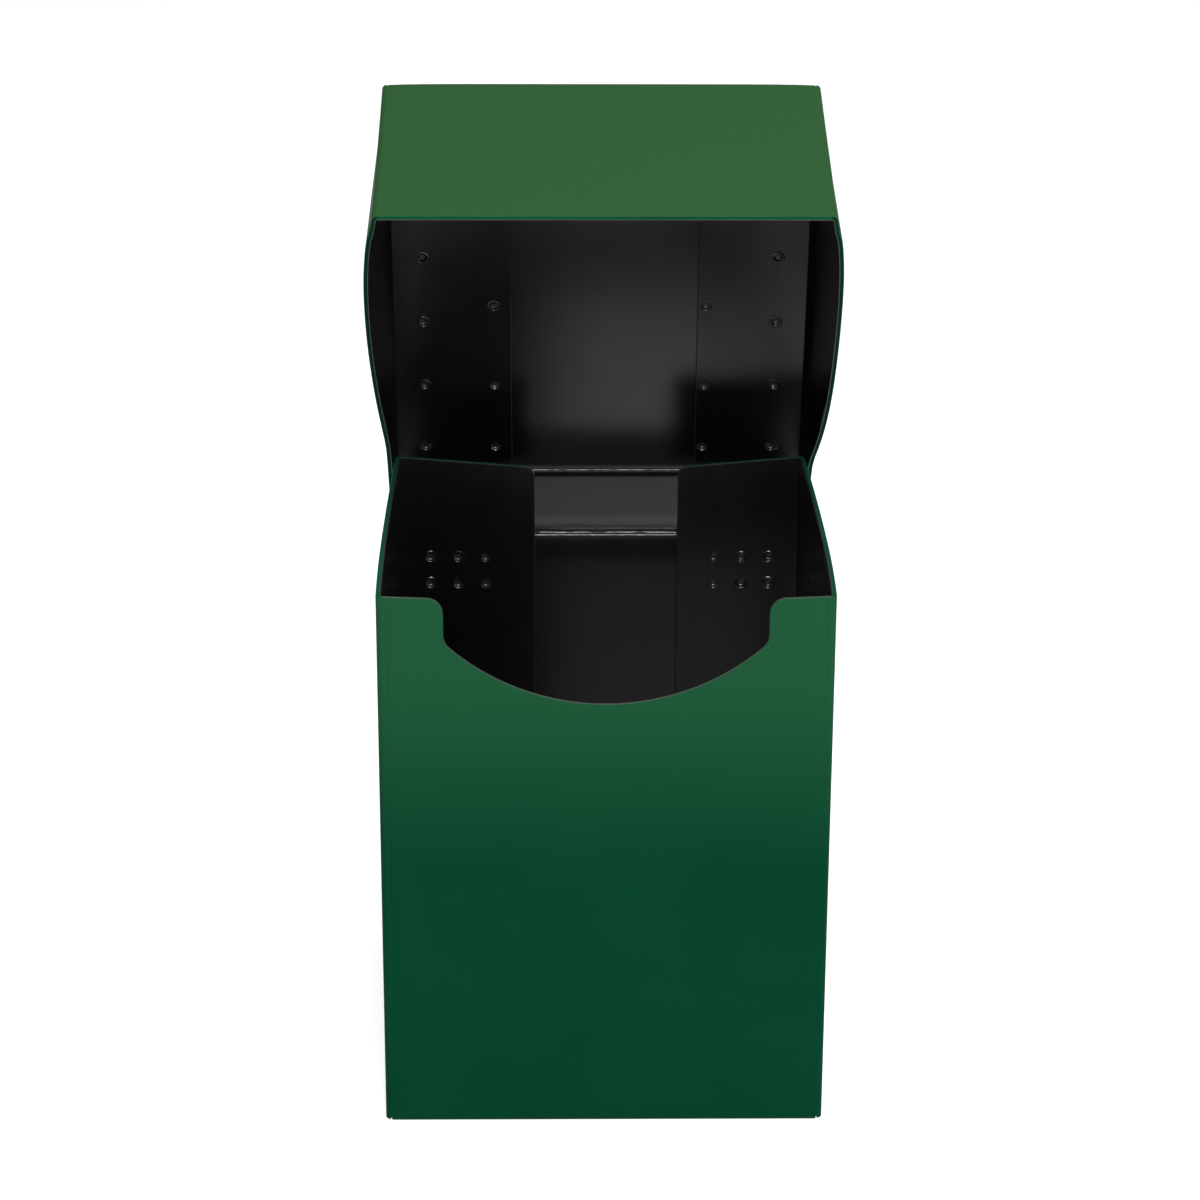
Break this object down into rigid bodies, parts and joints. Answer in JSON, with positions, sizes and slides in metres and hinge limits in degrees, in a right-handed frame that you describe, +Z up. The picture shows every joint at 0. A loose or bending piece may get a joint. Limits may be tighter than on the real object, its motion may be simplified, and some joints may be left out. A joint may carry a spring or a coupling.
{
  "type": "card deck box",
  "caption": "Folded and spot-welded plastic sheet box for sleeved cards, with a thumb notch in front and a creased flip-top lid standing open.",
  "frame": {"origin": "centre of the underside of the base", "axes": "+Z up, the front panel with the thumb notch faces -Y, +X to the right seen from the front"},
  "size_m": [0.0788, 0.0917, 0.1583],
  "materials": {
    "green_sheet": "satin polypropylene sheet, green outside",
    "black_lined_sheet": "satin polypropylene sheet, the black lined face"
  },
  "bodies": {
    "box": {"front_panel": "green_sheet", "left_side_panel": "green_sheet", "right_side_panel": "green_sheet", "back_panel": "green_sheet", "bottom_panel": "green_sheet", "left_rear_flap": "black_lined_sheet", "right_rear_flap": "black_lined_sheet", "left_bottom_flap": "black_lined_sheet", "right_bottom_flap": "black_lined_sheet", "left_rear_welds": "black_lined_sheet", "right_rear_welds": "black_lined_sheet", "left_bottom_welds": "black_lined_sheet", "right_bottom_welds": "black_lined_sheet", "lower_living_hinge": "black_lined_sheet"},
    "lid_strip": {"lid_back_panel": "green_sheet", "upper_living_hinge": "black_lined_sheet"},
    "lid": {"lid_top_panel": "green_sheet", "lid_front_flap": "green_sheet", "lid_left_side": "green_sheet", "lid_right_side": "green_sheet", "lid_left_tab": "black_lined_sheet", "lid_right_tab": "black_lined_sheet", "lid_left_welds": "black_lined_sheet", "lid_right_welds": "black_lined_sheet"}
  },
  "joints": [
    {"name": "lower_crease", "type": "hinge", "parent": "box", "child": "lid_strip", "pos_m": [0, 0.0372, 0.0776], "axis": [-1, 0, 0], "range_deg": [-72.6, 47]},
    {"name": "upper_crease", "type": "hinge", "parent": "lid_strip", "child": "lid", "pos_m": [0, 0.05367, 0.08358], "axis": [-1, 0, 0], "range_deg": [-3, 79]}
  ]
}
